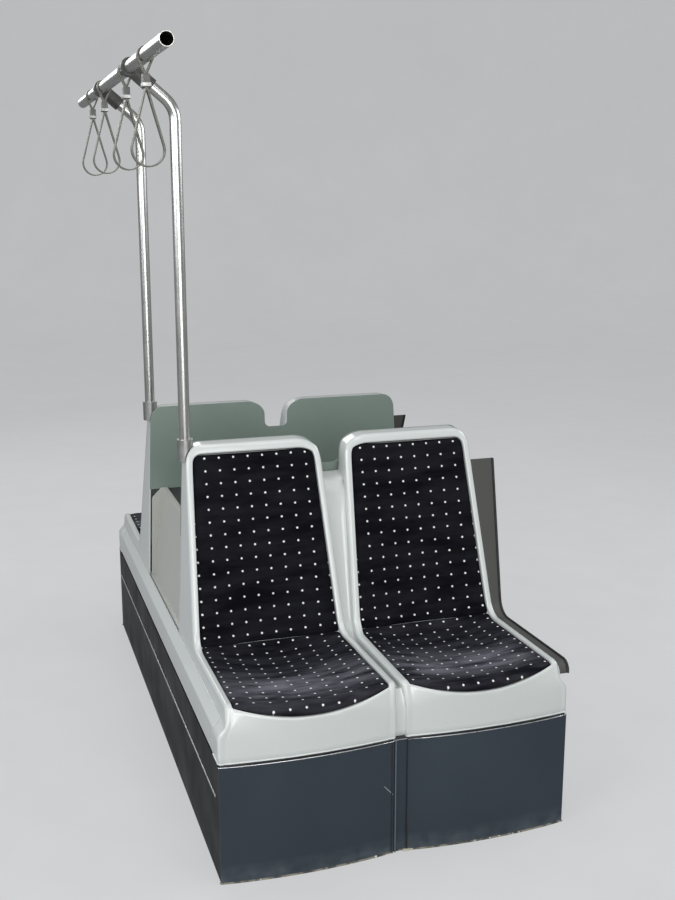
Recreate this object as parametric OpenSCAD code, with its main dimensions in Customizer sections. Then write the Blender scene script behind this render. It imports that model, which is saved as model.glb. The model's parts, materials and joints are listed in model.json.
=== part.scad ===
// Back-to-back bus seat unit on its wheel-arch plinth, with two shoulder grab poles,
// a stretch of overhead grab rail and four hand straps that swing on the rail.
// +X points to the vehicle's wall, -X to the aisle, Y runs along the vehicle, +Z is up.
// The origin is the middle of the plinth's footprint on the floor. Sizes are in millimetres.

/* [Plinth] */
// Width of the plinth from aisle side to wall side
plinth_w = 910; // [880:5:960]
// Length of the plinth, over the crowns of its bowed end panels
plinth_l = 1800; // [1780:5:1860]
// Height of the plinth, up to the lower edge of the seat moulding
plinth_h = 310; // [280:5:330]
// How far each bowed end panel stands out at its middle
plinth_bow = 16; // [8:1:22]
// Thickness of the plinth's panels
panel_t = 4; // [3:0.5:6]
// Width of the flat band between the two bowed panels
band_w = 38; // [30:2:60]
// Height of the trim strip on the aisle side
trim_z = 210; // [150:5:250]
// Leg of the steel angle that makes the plinth's frame
angle_leg = 40; // [35:1:50]
// Radius of the four floor bolt holes
bolt_hole_r = 5.5; // [4.5:0.5:7]

/* [Seats] */
// Height of the seat rims at the front edge
seat_z = 448; // [440:2:460]
// Distance from the front edge to the foot of the back
seat_depth = 391; // [375:1:400]
// Height of the back tops
back_z = 952; // [900:5:980]
// Lean of the backs from upright
back_lean = 18; // [14:0.5:20]
// Depth of a back at its top
back_t = 45; // [40:1:52]
// Width of the rim beside each pad
rim_w = 18; // [16:1:22]
// Width of the rim above each back pad
top_rim_w = 26; // [20:1:34]
// Outer radius of the shoulders
shoulder_r = 40; // [34:1:46]
// Radius of the seat's front edge
nose_r = 32; // [28:1:36]
// Radius of the curve from seat to back
crease_r = 55; // [40:5:90]
// Wall of the seat moulding
shell_t = 4; // [3:0.5:5]
// Thickness of the seat and back pads
pad_t = 12; // [9:1:15]
// Width of the notch between two back tops
notch_w = 76; // [60:1:90]
// Height of the bottom of that notch
notch_z = 866; // [850:2:890]
// Lower edge of the covers behind the backs
cover_z = 685; // [620:5:720]

/* [Sides] */
// Height of the upright band at the sides of the moulding
side_band_h = 68; // [55:1:75]
// How far the ledge over that band steps in
ledge_in = 20; // [14:1:26]
// Rise of the ledge
ledge_h = 22; // [16:1:26]
// Depth of a moulding's side, from the foot of the back to the recessed side panel
flank_depth = 228; // [215:1:240]
// Top edge of the recessed panel
infill_z = 690; // [640:5:720]
// How far the recessed panel leans inwards at its top
infill_lean = 42; // [30:1:60]
// Reach of the wall filler past the plinth at its top
filler_reach = 25; // [15:1:35]
// Top of the wall filler
filler_z = 861; // [820:5:890]

/* [Poles and rail] */
// Outer diameter of the shoulder poles
pole_d = 30; // [25:1:32]
// Outer diameter of the overhead rail
rail_d = 32; // [28:1:34]
// Wall of the poles and the rail
tube_t = 2; // [1.5:0.25:3]
// Distance of the poles in from the aisle side of the plinth
pole_in = 48; // [47:1:56]
// Distance of the rail from the poles, towards the aisle
rail_out = 110; // [90:5:130]
// Height of the rail's axis
rail_z = 1915; // [1850:5:1980]
// Length of the rail
rail_l = 1700; // [1500:20:1900]
// Lean of the poles' top ends from upright
pole_lean = 50; // [40:1:60]
// Bend radius of the poles
bend_r = 70; // [50:5:90]

/* [Hand straps] */
// Places of two hand straps along the rail, from the front pole
front_straps = [-255, 75]; // [-400:5:120]
// Places of two hand straps along the rail, from the rear pole
rear_straps = [-60, 255]; // [-120:5:400]
// Width of the strap band
strap_w = 24; // [20:1:30]
// Thickness of the strap band
strap_t = 3.5; // [2.5:0.5:4.5]
// Outer radius of the hand loop
loop_r = 39.5; // [34:0.5:46]
// Bottom of the hand loop, below the rail's axis
loop_drop = 247; // [220:1:270]
// Height of the buckle
buckle_h = 29; // [24:1:34]
// Width of the buckle, across the two layers of band that it holds
buckle_w = 17; // [14:1:24]

/* [Hidden] */

// Fits and gaps
touch = 0.3;          // between pieces that lie against each other
pole_fit = 0.15;      // radial, between a tube and its clamp or socket
strap_fit = 0.5;      // radial, between a strap and the rail it swings on
shadow_gap = 8;       // dark line between the plinth's panels and the moulding
round_fn = 96;

// Plinth
half_w = plinth_w / 2;
half_l = plinth_l / 2;
front_y = -(half_l - plinth_bow);        // the moulding's and the panels' front corners
panel_top = plinth_h - shadow_gap;
bow_half_w = (half_w - band_w / 2) / 2;
bow_r = (pow(bow_half_w, 2) + pow(plinth_bow, 2)) / (2 * plinth_bow);
band_recess = 5;                          // the flat band lies this far behind the panels' edges
deck_t = 4;
deck_edge = 2;                            // the deck stops this far inside the panels' faces
frame_gap = touch;
frame_x = half_w - panel_t - frame_gap;   // outer faces of the frame
frame_y = -front_y - panel_t - band_recess - frame_gap;
deck_top = plinth_h - touch;
frame_top = deck_top - deck_t - touch;
floor_flange = 2 * angle_leg;
floor_bolt_in = 50;                       // bolt holes, in from the frame's outer faces
post_w = 30;
post_t = 2.5;

// Side view of a front seat's rim line: lines and arcs from the moulding's lower edge,
// round the front edge, along the seat, and up the back. k is the turn in degrees a millimetre.
seat_fall = 1.2;                          // the seat falls to the back by this angle
facia_z = plinth_h;
foot_y = front_y + seat_depth;
infill_half = -foot_y - flank_depth;      // half the length of the recessed side panel
foot_z = seat_z - seat_depth * sin(seat_fall);
nose_turn = 90 + seat_fall;
crease_turn = 90 - back_lean + seat_fall;
nose_cut = nose_r * tan(nose_turn / 2);
crease_cut = crease_r * tan(crease_turn / 2);
function arc_len(r, turn) = r * turn * PI / 180;
line_pieces = [
    [seat_z - facia_z - nose_cut, 0],
    [arc_len(nose_r, nose_turn), -nose_turn / arc_len(nose_r, nose_turn)],
    [seat_depth - nose_cut - crease_cut, 0],
    [arc_len(crease_r, crease_turn), crease_turn / arc_len(crease_r, crease_turn)],
    [(back_z - foot_z) / cos(back_lean) - crease_cut, 0]
];
function heading_after(a, piece, t) = a + piece[1] * t;
function point_after(p, a, k, t) = k == 0
    ? p + t * [cos(a), sin(a)]
    : p + [sin(a + k * t) - sin(a), cos(a) - cos(a + k * t)] * (180 / PI / k);
// Start of each piece: [distance, point, heading]
function starts(i) = i == 0
    ? [[0, [front_y, facia_z], 90]]
    : let (before = starts(i - 1), b = before[i - 1], piece = line_pieces[i - 1])
        concat(before, [[b[0] + piece[0], point_after(b[1], b[2], piece[1], piece[0]),
                         heading_after(b[2], piece, piece[0])]]);
line_starts = starts(4);
function piece_at(s) = max([for (i = [0:4]) s >= line_starts[i][0] ? i : 0]);
function rim_point(s) = let (i = piece_at(s), b = line_starts[i])
    point_after(b[1], b[2], line_pieces[i][1], s - b[0]);
// Away from the sitter, into the moulding
function inward(s) = let (i = piece_at(s), b = line_starts[i],
    a = heading_after(b[2], line_pieces[i], s - b[0]) - 90) [cos(a), sin(a)];
nose_start = line_starts[1][0];
nose_end = line_starts[2][0];
crease_start = line_starts[3][0];
crease_end = line_starts[4][0];
top_s = crease_end + line_pieces[4][0];
function mix(a, b, t) = a + (b - a) * t;

// Side lines of the moulding
side_z0 = facia_z + side_band_h;
ledge_z = side_z0 + ledge_h;
ledge_x = half_w - ledge_in;
flank_slope = 0.045;                      // the flanks lean in by this much a millimetre of height
function side_x(z) = z <= side_z0 ? half_w : z < ledge_z
    ? mix(half_w, ledge_x, (z - side_z0) / ledge_h) : ledge_x - flank_slope * (z - ledge_z);
corner_return = 60;                       // the front face turns back along the side by this much
flank_z = ledge_z + touch;

// The flat plane behind a back, from the foot of the infill to the back's top
rear_foot = [-infill_half, flank_z];
rear_top = rim_point(top_s) + [back_t / cos(back_lean), 0];
rear_dir = (rear_top - rear_foot) / norm(rear_top - rear_foot);
function cross2(a, b) = a[0] * b[1] - a[1] * b[0];
function to_rear(s) = cross2(rear_foot - rim_point(s), rear_dir) / cross2(inward(s), rear_dir);
// Point of that plane at the height of the rim line, for the level tops of the backs
function rear_level(s) = let (z = rim_point(s)[1])
    [rear_foot[0] + (z - rear_foot[1]) * rear_dir[0] / rear_dir[1], z];

// Rows of the moulding, from its lower edge to the top of the pad recess: [middle, beside the rims]
lip_mid = 93;                             // the pads' front edge, up from the moulding's lower edge
lip_rim = nose_start + 33;
seam_rise = 10;                           // the seam between a seat and a back pad arches up by this much
recess_r = shoulder_r - rim_w;
notch_corner_stretch = 1.9;               // the corners beside the notch are wider than they are high
corner_s = top_s - top_rim_w - recess_r;
notch_s = top_s - (back_z - notch_z) / cos(back_lean);
notch_roll = 0.93;                        // the divider rolls back to the rear from this share of its height
nose_steps = 5;
seat_steps = 3;
crease_steps = 6;
corner_steps = 3;
rows = concat(
    [[0, 0], [0.55 * lip_mid, side_band_h], [0.85 * lip_mid, side_band_h + ledge_h],
     [lip_mid - 2, lip_rim - 2]],
    [for (i = [0:nose_steps]) mix([lip_mid, lip_rim], [nose_end, nose_end], i / nose_steps)],
    [for (i = [1:seat_steps]) let (s = mix(nose_end, crease_start, i / seat_steps)) [s, s]],
    [for (i = [1:crease_steps]) let (s = mix(crease_start, crease_end, i / crease_steps))
        [s + seam_rise * sin(180 * i / crease_steps), s]],
    [for (f = [0.45, notch_roll, 1]) let (s = mix(crease_end, notch_s, f)) [s, s]],
    [for (i = [0:corner_steps]) let (s = corner_s + recess_r * sin(90 * i / corner_steps)) [s, s]]
);
last_row = len(rows) - 1;
lip_row = 4;
ledge_row = 2;
crease_row = lip_row + nose_steps + seat_steps + crease_steps / 2;
corner_row = last_row - corner_steps;
notch_row = corner_row - 1;
// Columns across a seat, from the divider side to the outer side
columns = [-1, -0.93, -0.6, -0.22, 0.22, 0.6, 0.93, 1];
last_column = len(columns) - 1;
rim_steps = 5;
edge_r = 5;

function corner_turn(r) = r <= corner_row ? 0 : 90 * (r - corner_row) / corner_steps;
function row_s(r, u) = mix(rows[r][0], rows[r][1], u * u);
strip_w = 28;                             // flat strip between the two fronts of the moulding
function divider_x(s) = lookup(s, [[0, strip_w / 2], [nose_start, strip_w / 2], [nose_end, 6.5],
    [crease_start, 9], [(crease_start + crease_end) / 2, 14], [top_s, notch_w / 2]]);
function dish(s) = lookup(s, [[0, 0], [nose_start, 0], [nose_end, 13], [crease_start * 0.7, 26],
    [crease_end, 30], [mix(crease_end, top_s, 0.35), 16], [top_s, 5]]);
function divider_depth(s) = lookup(s, [[0, 12], [nose_start, 12], [nose_end, 20], [crease_start, 24],
    [crease_end, 27], [mix(crease_end, notch_s, notch_roll), 30], [notch_s, to_rear(notch_s) - 8]]);
function bow(s, u) = plinth_bow * 0.8 * (1 - u * u) * lookup(s, [[0, 1], [nose_end, 1], [crease_start, 0]]);
function row_z(r) = rim_point(row_s(r, 1))[1];
function recess_x(r, u) = let (
        shrink = recess_r * (1 - cos(corner_turn(r))),
        low = divider_x(row_s(r, 1)) + rim_w + notch_corner_stretch * shrink,
        high = side_x(row_z(r)) - rim_w - shrink)
    mix(low, high, (u + 1) / 2);
function at(x, s, depth, forward = 0) = let (p = rim_point(s) + depth * inward(s)) [x, p[0] - forward, p[1]];

// Pad seat of the moulding. wall is 0 on the face and the moulding's thickness behind it.
function recess_point(r, c, wall) = let (
        u = columns[c],
        turn = corner_turn(r),
        out = c == 0 ? -1 : c == last_column ? 1 : 0,
        s = row_s(r, u) - (r == lip_row || r == lip_row - 1 ? wall : 0) + (r == last_row ? wall : 0),
        depth = (r < lip_row ? 0 : pad_t + 1.5 + dish(s) * (1 - u * u)) + wall)
    at(recess_x(r, u) + out * wall * cos(turn), s, depth, bow(s, u));

// Section through the rim: [out from the recess, depth] on the face, then behind it
rim_section = [
    [1, 0.6, shell_t + 1, shell_t],
    [rim_w - edge_r, 0, rim_w - shell_t - 1, shell_t],
    [rim_w, edge_r, rim_w - shell_t, shell_t + 2]
];
// The rim runs up the divider side, across the top and down the outer side
perimeter = 2 * last_row + last_column;
function rim_row(p) = p <= last_row ? p : p < last_row + last_column ? last_row : perimeter - p;
function rim_column(p) = p <= last_row ? 0 : p < last_row + last_column ? p - last_row : last_column;
function rim_base(p, j, back) = let (
        r = rim_row(p), c = rim_column(p), u = columns[c],
        turn = p > last_row && p < last_row + last_column ? 90 : corner_turn(r),
        out = p <= last_row ? -1 : 1,
        reach = rim_section[min(j, 3) - 1][back ? 2 : 0])
    [recess_x(r, u) + out * reach * cos(turn), row_s(r, u) + reach * top_rim_w / rim_w * sin(turn)];
// Where the outer flank ends, in side view
function flank_end(r, s) =
    r <= ledge_row ? [front_y + corner_return, rim_point(s)[1]]
    : r <= crease_row
        ? mix([front_y + corner_return + 8, flank_z], rear_foot,
              (r - ledge_row - 1) / (crease_row - ledge_row - 1))
    : r < notch_row
        ? mix(rear_foot, rear_level(rows[notch_row][1]), (r - crease_row) / (notch_row - crease_row))
    : rear_level(s);
function rim_point3(p, j, back) = let (
        r = rim_row(p), b = rim_base(p, j, back), s = b[1],
        depth = rim_section[min(j, 3) - 1][back ? 3 : 1],
        inner = p <= last_row, far = (j - 3) / 2,
        edge = at(b[0], s, depth))
    j <= 3 ? edge
    : inner && r <= notch_row ? at(b[0], s, mix(edge_r, divider_depth(s), far) + (back ? shell_t * far : 0))
    : let (f = flank_end(inner ? max(r, notch_row) : r, s), end = mix([edge[1], edge[2]], f, far),
           lean = inner || r <= ledge_row ? 0 : flank_slope * (end[1] - edge[2]))
        [edge[0] - lean, end[0], end[1]];

// Numbering of one seat's points
function recess_id(r, c) = r * (last_column + 1) + c;
recess_count = (last_row + 1) * (last_column + 1);
function rim_id(p, j) = j == 0 ? recess_id(rim_row(p), rim_column(p)) : recess_count + p * rim_steps + j - 1;
seat_count = recess_count + (perimeter + 1) * rim_steps;
function seat_points(back) = concat(
    [for (r = [0:last_row], c = [0:last_column]) recess_point(r, c, back ? shell_t : 0)],
    [for (p = [0:perimeter], j = [1:rim_steps]) rim_point3(p, j, back)]);
seat_quads = concat(
    [for (r = [0:last_row - 1], c = [0:last_column - 1])
        [recess_id(r, c), recess_id(r + 1, c), recess_id(r + 1, c + 1), recess_id(r, c + 1)]],
    [for (p = [0:perimeter - 1], j = [0:rim_steps - 1])
        [rim_id(p, j + 1), rim_id(p + 1, j + 1), rim_id(p + 1, j), rim_id(p, j)]]);
function flipped(points) = [for (p = points) [-p[0], p[1], p[2]]];
function shifted(quads, by) = [for (q = quads) [for (i = q) i + by]];
// Quads seen from behind, still split along the same diagonal
function turned(quads) = [for (q = quads) [q[2], q[1], q[0], q[3]]];
function triangles(quads) = [for (q = quads, half = [0, 1])
    half == 0 ? [q[0], q[1], q[2]] : [q[0], q[2], q[3]]];
function walls(loop, n) = [for (i = [0:len(loop) - 1]) let (a = loop[i], b = loop[(i + 1) % len(loop)])
    [b, a, a + n, b + n]];

// A closed sheet between two sets of points that share their quads and their border
module sheet(face, back, quads, border) {
    n = len(face);
    polyhedron(
        points = concat(face, back),
        faces = concat(triangles(quads), triangles(shifted(turned(quads), n)), triangles(walls(border, n)))
    );
}

// Two bucket seats side by side in one moulding, joined by the divider below the notch
module double_shell() {
    left = seat_count;
    face = concat(seat_points(false), flipped(seat_points(false)));
    back = concat(seat_points(true), flipped(seat_points(true)));
    divider = [for (p = [0:notch_row - 1]) let (low = rim_id(p, rim_steps), high = rim_id(p + 1, rim_steps))
        [high, low, left + low, left + high]];
    border = concat(
        [for (p = [notch_row:perimeter]) rim_id(p, rim_steps)],
        [for (j = [rim_steps - 1:-1:1]) rim_id(perimeter, j)],
        [for (c = [last_column:-1:0]) recess_id(0, c)],
        [for (j = [1:rim_steps]) rim_id(0, j)],
        [for (j = [rim_steps:-1:1]) left + rim_id(0, j)],
        [for (c = [0:last_column]) left + recess_id(0, c)],
        [for (j = [1:rim_steps - 1]) left + rim_id(perimeter, j)],
        [for (p = [perimeter:-1:notch_row]) left + rim_id(p, rim_steps)]
    );
    sheet(face, back, concat(seat_quads, shifted(turned(seat_quads), left), divider), border);
}

// A pad that lies in the recess between two rows of the moulding
lip_gap = 2.6;                             // the seat pads' front edge clears the moulding's lip by this
function pad_point(r, c, r0, r1, under) = let (
        u = columns[c] * 0.993,
        s = row_s(r, u) + (r == lip_row ? lip_gap : r == r0 ? 1 : r == r1 ? -1 : 0),
        border = r == r0 || r == r1 || c == 0 || c == last_column,
        depth = dish(s) * (1 - u * u) + (under ? pad_t + 1 : border ? edge_r + 1 : 1))
    at(recess_x(r, u), s, depth, bow(s, u));
module pad(r0, r1) {
    across = last_column + 1;
    sheet(
        [for (r = [r0:r1], c = [0:last_column]) pad_point(r, c, r0, r1, false)],
        [for (r = [r0:r1], c = [0:last_column]) pad_point(r, c, r0, r1, true)],
        [for (r = [0:r1 - r0 - 1], c = [0:last_column - 1])
            [r * across + c, (r + 1) * across + c, (r + 1) * across + c + 1, r * across + c + 1]],
        concat(
            [for (r = [0:r1 - r0]) r * across],
            [for (c = [1:last_column]) (r1 - r0) * across + c],
            [for (r = [r1 - r0 - 1:-1:0]) r * across + last_column],
            [for (c = [last_column - 1:-1:1]) c]
        )
    );
}
module seat_pad() color([0.12, 0.13, 0.18]) pad(lip_row, crease_row);
module back_pad() color([0.12, 0.13, 0.18]) pad(crease_row, last_row);
module to_aisle() mirror([1, 0, 0]) children();
module to_rear_pair() mirror([0, 1, 0]) children();

module front_shell() color([0.78, 0.79, 0.76]) double_shell();
module rear_shell() color([0.78, 0.79, 0.76]) to_rear_pair() double_shell();
module front_wall_seat_pad() seat_pad();
module front_wall_back_pad() back_pad();
module front_aisle_seat_pad() to_aisle() seat_pad();
module front_aisle_back_pad() to_aisle() back_pad();
module rear_wall_seat_pad() to_rear_pair() seat_pad();
module rear_wall_back_pad() to_rear_pair() back_pad();
module rear_aisle_seat_pad() to_rear_pair() to_aisle() seat_pad();
module rear_aisle_back_pad() to_rear_pair() to_aisle() back_pad();

// Shoulders: rounded ends of the back tops, flattened by the backs' lean
shoulder_h = (recess_r + top_rim_w) * cos(back_lean);
shoulder_x = side_x(back_z - shoulder_h) - shoulder_r;
function shoulder_at(x) = back_z - shoulder_h * (1 - sqrt(1 - pow((x - shoulder_x) / shoulder_r, 2)));
module shoulder_disc(grow = 0) resize(2 * [shoulder_r + grow, shoulder_h + grow])
    circle(shoulder_r, $fn = round_fn);

// Cover behind two backs: its outline is that of the backs, down to its lower edge
cover_t = 4;
notch_fillet = 18;
notch_corner = rim_w + notch_corner_stretch * recess_r;
module cover_half(low, high, notch) {
    hull() {
        translate([notch_w / 2, low]) square([side_x(cover_z) - notch_w / 2, cover_t]);
        translate([notch_w / 2 + notch_corner, high - shoulder_h]) resize(2 * [notch_corner, shoulder_h])
            circle(shoulder_r, $fn = round_fn);
        translate([shoulder_x, high - shoulder_h]) shoulder_disc();
    }
    translate([-touch, low]) square([notch_w, notch - low]);
}
module back_cover() {
    lean = atan2(rear_top[0] - rear_foot[0], rear_top[1] - rear_foot[1]);
    low = (cover_z - rear_foot[1]) / cos(lean);
    high = norm(rear_top - rear_foot);
    notch = (notch_z - rear_foot[1]) / cos(lean);
    translate([0, rear_foot[0] + touch, rear_foot[1]]) rotate([90 - lean, 0, 0])
        mirror([0, 0, 1]) linear_extrude(cover_t)
            offset(r = -notch_fillet, $fn = round_fn) offset(delta = notch_fillet) {
                cover_half(low, high, notch);
                mirror([1, 0]) cover_half(low, high, notch);
            }
}
module front_back_cover() color([0.47, 0.52, 0.48]) back_cover();
module rear_back_cover() color([0.47, 0.52, 0.48]) to_rear_pair() back_cover();

// Side skirt: upright band and ledge that the mouldings' flanks stand on
skirt_half = -front_y - corner_return - touch;
ledge_seat = 12;
module skirt() rotate([90, 0, 0]) linear_extrude(2 * skirt_half, center = true) polygon([
    [half_w, facia_z], [half_w, side_z0], [ledge_x, ledge_z], [ledge_x - ledge_seat, ledge_z],
    [ledge_x - ledge_seat, ledge_z - panel_t], [ledge_x - panel_t / 2, ledge_z - panel_t],
    [half_w - panel_t, side_z0 - panel_t / 2], [half_w - panel_t, facia_z]
]);
module wall_skirt() color([0.78, 0.79, 0.76]) skirt();
module aisle_skirt() color([0.78, 0.79, 0.76]) to_aisle() skirt();

// Recessed side panel between the two mouldings, with its end cheeks
infill_in = 14;                           // the panel's foot lies this far inside the ledge's edge
infill_toe = 6;                           // width of the flange at its foot
infill_lip = 12;                          // width of the lip along its top
infill_bevel = 3;
cheek_cut = 30;                           // corners cut off the tops of the cheeks
infill_foot_x = ledge_x - infill_in;
module infill() {
    length = 2 * (infill_half - touch);
    top_x = infill_foot_x - infill_lean;
    toe_x = infill_foot_x + infill_toe;
    rotate([90, 0, 0]) linear_extrude(length, center = true) polygon([
        [toe_x, flank_z], [toe_x, flank_z + panel_t], [infill_foot_x, flank_z + panel_t],
        [top_x + infill_bevel, infill_z - infill_lip], [top_x, infill_z - infill_bevel],
        [top_x - infill_bevel, infill_z], [top_x - infill_lip, infill_z],
        [top_x - infill_lip, infill_z - panel_t], [top_x - panel_t - 1, infill_z - panel_t],
        [infill_foot_x - panel_t, flank_z]
    ]);
    cheek_top = side_x(infill_z) - shell_t - 1;
    for (side = [-1, 1])
        translate([0, side * (length / 2 - panel_t / 2), 0]) rotate([90, 0, 0])
            linear_extrude(panel_t, center = true) polygon([
                [infill_foot_x - panel_t, flank_z], [toe_x, flank_z],
                [cheek_top, infill_z - cheek_cut], [cheek_top - cheek_cut, infill_z],
                [top_x - infill_lip, infill_z], [top_x - infill_lip, infill_z - panel_t]
            ]);
}
module wall_infill() color([0.65, 0.66, 0.62]) infill();
module aisle_infill() color([0.65, 0.66, 0.62]) to_aisle() infill();

// Filler between the wall side rims and the vehicle's wall, and the rubber bead along the wall
filler_t = 4;
filler_depth = 4;
seal_w = 6;
function wall_x(z) = half_w + filler_reach * (z - seat_z) / (filler_z - seat_z);
function rim_band(from, to, steps) = [for (i = [0:steps]) mix(from, to, i / steps)];
band_stations = concat(rim_band(nose_start, nose_end, 4), rim_band(crease_start, crease_end, 6), [top_s]);
module side_band(depth, thickness) polygon(concat(
    [for (s = band_stations) rim_point(s) + depth * inward(s)],
    [for (i = [len(band_stations) - 1:-1:0]) let (s = band_stations[i])
        rim_point(s) + (depth + thickness) * inward(s)]
));
module between_lines(x0, x1, x2, x3, z0, z1) rotate([90, 0, 0])
    linear_extrude(3 * half_l, center = true) polygon([[x0, z0], [x1, z0], [x3, z1], [x2, z1]]);
module wall_strip(depth, thickness, from, to) intersection() {
    rotate([90, 0, 90]) linear_extrude(2 * half_w) side_band(depth, thickness);
    between_lines(
        (from == 0 ? side_x(ledge_z) + touch : wall_x(ledge_z) + from), wall_x(ledge_z) + to,
        (from == 0 ? side_x(filler_z) + touch : wall_x(filler_z) + from), wall_x(filler_z) + to,
        ledge_z, filler_z
    );
}
module wall_filler() color([0.72, 0.73, 0.70]) for (side = [0, 1]) mirror([0, side, 0])
    wall_strip(filler_depth, filler_t, 0, -touch);
module wall_seal() color([0.10, 0.10, 0.11]) for (side = [0, 1]) mirror([0, side, 0])
    wall_strip(filler_depth - 3, filler_t + 6, 0.01, seal_w);

// Plinth: end panels of two bowed sheets with a flat recessed band between them
module bowed_sheet() intersection() {
    translate([0, bow_r]) difference() {
        circle(bow_r, $fn = round_fn);
        circle(bow_r - panel_t, $fn = round_fn);
    }
    translate([-bow_half_w, -1]) square([2 * bow_half_w, plinth_bow + panel_t + 1]);
}
module end_panel() linear_extrude(panel_top) {
    for (side = [-1, 1]) {
        translate([side * (band_w / 2 + bow_half_w), -half_l]) bowed_sheet();
        translate([side * band_w / 2 - (side > 0 ? 0 : panel_t), front_y - 1])
            square([panel_t, band_recess + panel_t + 1]);
    }
    translate([-band_w / 2, front_y + band_recess]) square([band_w, panel_t]);
}
module plinth_front_panel() color([0.18, 0.22, 0.26]) end_panel();
module plinth_rear_panel() color([0.18, 0.22, 0.26]) to_rear_pair() end_panel();

module side_panel() translate([half_w - panel_t, front_y + panel_t + touch, 0])
    cube([panel_t, -2 * (front_y + panel_t + touch), panel_top]);
module plinth_wall_panel() color([0.14, 0.16, 0.17]) side_panel();
module plinth_aisle_panel() color([0.14, 0.16, 0.17]) to_aisle() side_panel();

trim_h = 6;
trim_t = 2;
trim_end = 38;
module plinth_trim() color([0.85, 0.86, 0.87])
    translate([-half_w - touch - trim_t, front_y + trim_end, trim_z - trim_h / 2])
        cube([trim_t, 2 * (-front_y - trim_end), trim_h]);

// Steel frame of angles: one ring on the floor with the bolt flange, one under the deck
angle_t = 4;
module ring(outer_x, outer_y, inner_x, inner_y, height) difference() {
    translate([-outer_x, -outer_y, 0]) cube([2 * outer_x, 2 * outer_y, height]);
    translate([-inner_x, -inner_y, -1]) cube([2 * inner_x, 2 * inner_y, height + 2]);
}
module floor_frame() color([0.35, 0.36, 0.37]) difference() {
    union() {
        ring(frame_x, frame_y, frame_x - angle_t, frame_y - angle_t, angle_leg);
        ring(frame_x, frame_y, frame_x - floor_flange, frame_y - floor_flange, angle_t);
    }
    for (x = [-1, 1], y = [-1, 1])
        translate([x * (frame_x - floor_bolt_in), y * (frame_y - floor_bolt_in), -1])
            cylinder(r = bolt_hole_r, h = angle_t + 2, $fn = round_fn);
}
module deck_frame() color([0.35, 0.36, 0.37]) translate([0, 0, frame_top]) mirror([0, 0, 1]) {
    ring(frame_x, frame_y, frame_x - angle_t, frame_y - angle_t, angle_leg);
    ring(frame_x, frame_y, frame_x - angle_leg, frame_y - angle_leg, angle_t);
    for (y = [-infill_half, infill_half])
        translate([-frame_x + angle_t / 2, y - angle_leg / 2, 0])
            cube([2 * frame_x - angle_t, angle_leg, angle_t]);
}
module frame_posts() color([0.35, 0.36, 0.37])
    for (x = [-1, 1], y = [-1, 0, 1])
        translate([x * (frame_x - angle_t - touch - post_w / 2), y * (frame_y - angle_t - touch - post_w / 2),
                   angle_t + touch])
            difference() {
                translate([-post_w / 2, -post_w / 2, 0])
                    cube([post_w, post_w, frame_top - 2 * angle_t - 2 * touch]);
                translate([-post_w / 2 + post_t, -post_w / 2 + post_t, -1])
                    cube([post_w - 2 * post_t, post_w - 2 * post_t, frame_top]);
            }
module deck_plate() color([0.13, 0.13, 0.14])
    translate([-half_w + deck_edge, front_y + deck_edge, deck_top - deck_t])
        cube([2 * (half_w - deck_edge), -2 * (front_y + deck_edge), deck_t]);

// Shoulder poles: upright tube, bend towards the aisle, and a leg that points at the rail's axis
pole_x = half_w - pole_in;
rail_x = pole_x + rail_out;
knee_z = rail_z - rail_out / tan(pole_lean);
knee_cut = bend_r * tan(pole_lean / 2);
pole_y = mix(rim_point(top_s)[0], rear_top[0], 0.5);
pole_foot = shoulder_at(pole_x - pole_d / 2) + 5 * touch;
leg_gap = 4;                              // the pole's leg stops this far from the rail
leg_len = rail_out / sin(pole_lean) - knee_cut - rail_d / 2 - leg_gap;
weld = 0.05;                              // the straight lengths reach this far into the bend
bend_slim = 0.05;                         // the bent wall is drawn thinner by this on each side
module tube_length(length) difference() {
    cylinder(d = pole_d, h = length, $fn = round_fn);
    translate([0, 0, -1]) cylinder(d = pole_d - 2 * tube_t, h = length + 2, $fn = round_fn);
}
module pole() translate([-pole_x, pole_y, 0]) {
    translate([0, 0, pole_foot]) tube_length(knee_z - knee_cut + weld - pole_foot);
    translate([-bend_r, 0, knee_z - knee_cut]) rotate([90, 0, 0])
        rotate_extrude(angle = pole_lean, $fn = round_fn) translate([bend_r, 0]) difference() {
            circle(d = pole_d - 2 * bend_slim, $fn = round_fn);
            circle(d = pole_d - 2 * tube_t + 2 * bend_slim, $fn = round_fn);
        }
    translate([0, 0, knee_z]) rotate([0, -pole_lean, 0]) translate([0, 0, knee_cut - weld])
        tube_length(leg_len + weld);
}
module front_pole() color([0.80, 0.81, 0.82]) pole();
module rear_pole() color([0.80, 0.81, 0.82]) to_rear_pair() pole();

// Socket that sits astride the shoulder and holds the pole's foot
socket_wall = 7;
socket_grip = 18;                         // length of pole inside the socket
socket_low = shoulder_at(pole_x) - 22;
module pole_socket() {
    shoulder_axis_z = back_z - shoulder_h;
    difference() {
        translate([-pole_x, pole_y, socket_low])
            cylinder(d = pole_d + 2 * socket_wall, h = pole_foot + socket_grip - socket_low, $fn = round_fn);
        translate([-pole_x, pole_y, pole_foot - touch])
            cylinder(d = pole_d + 2 * pole_fit, h = 2 * socket_grip, $fn = round_fn);
        translate([-shoulder_x, pole_y, shoulder_axis_z]) rotate([90, 0, 0])
            linear_extrude(2 * back_t, center = true) shoulder_disc(touch);
        translate([-shoulder_x - shoulder_r - touch, pole_y - back_t, shoulder_axis_z - 2 * shoulder_r])
            cube([2 * shoulder_r, 2 * back_t, 2 * shoulder_r]);
    }
}
module front_pole_socket() color([0.62, 0.63, 0.64]) pole_socket();
module rear_pole_socket() color([0.62, 0.63, 0.64]) to_rear_pair() pole_socket();

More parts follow.
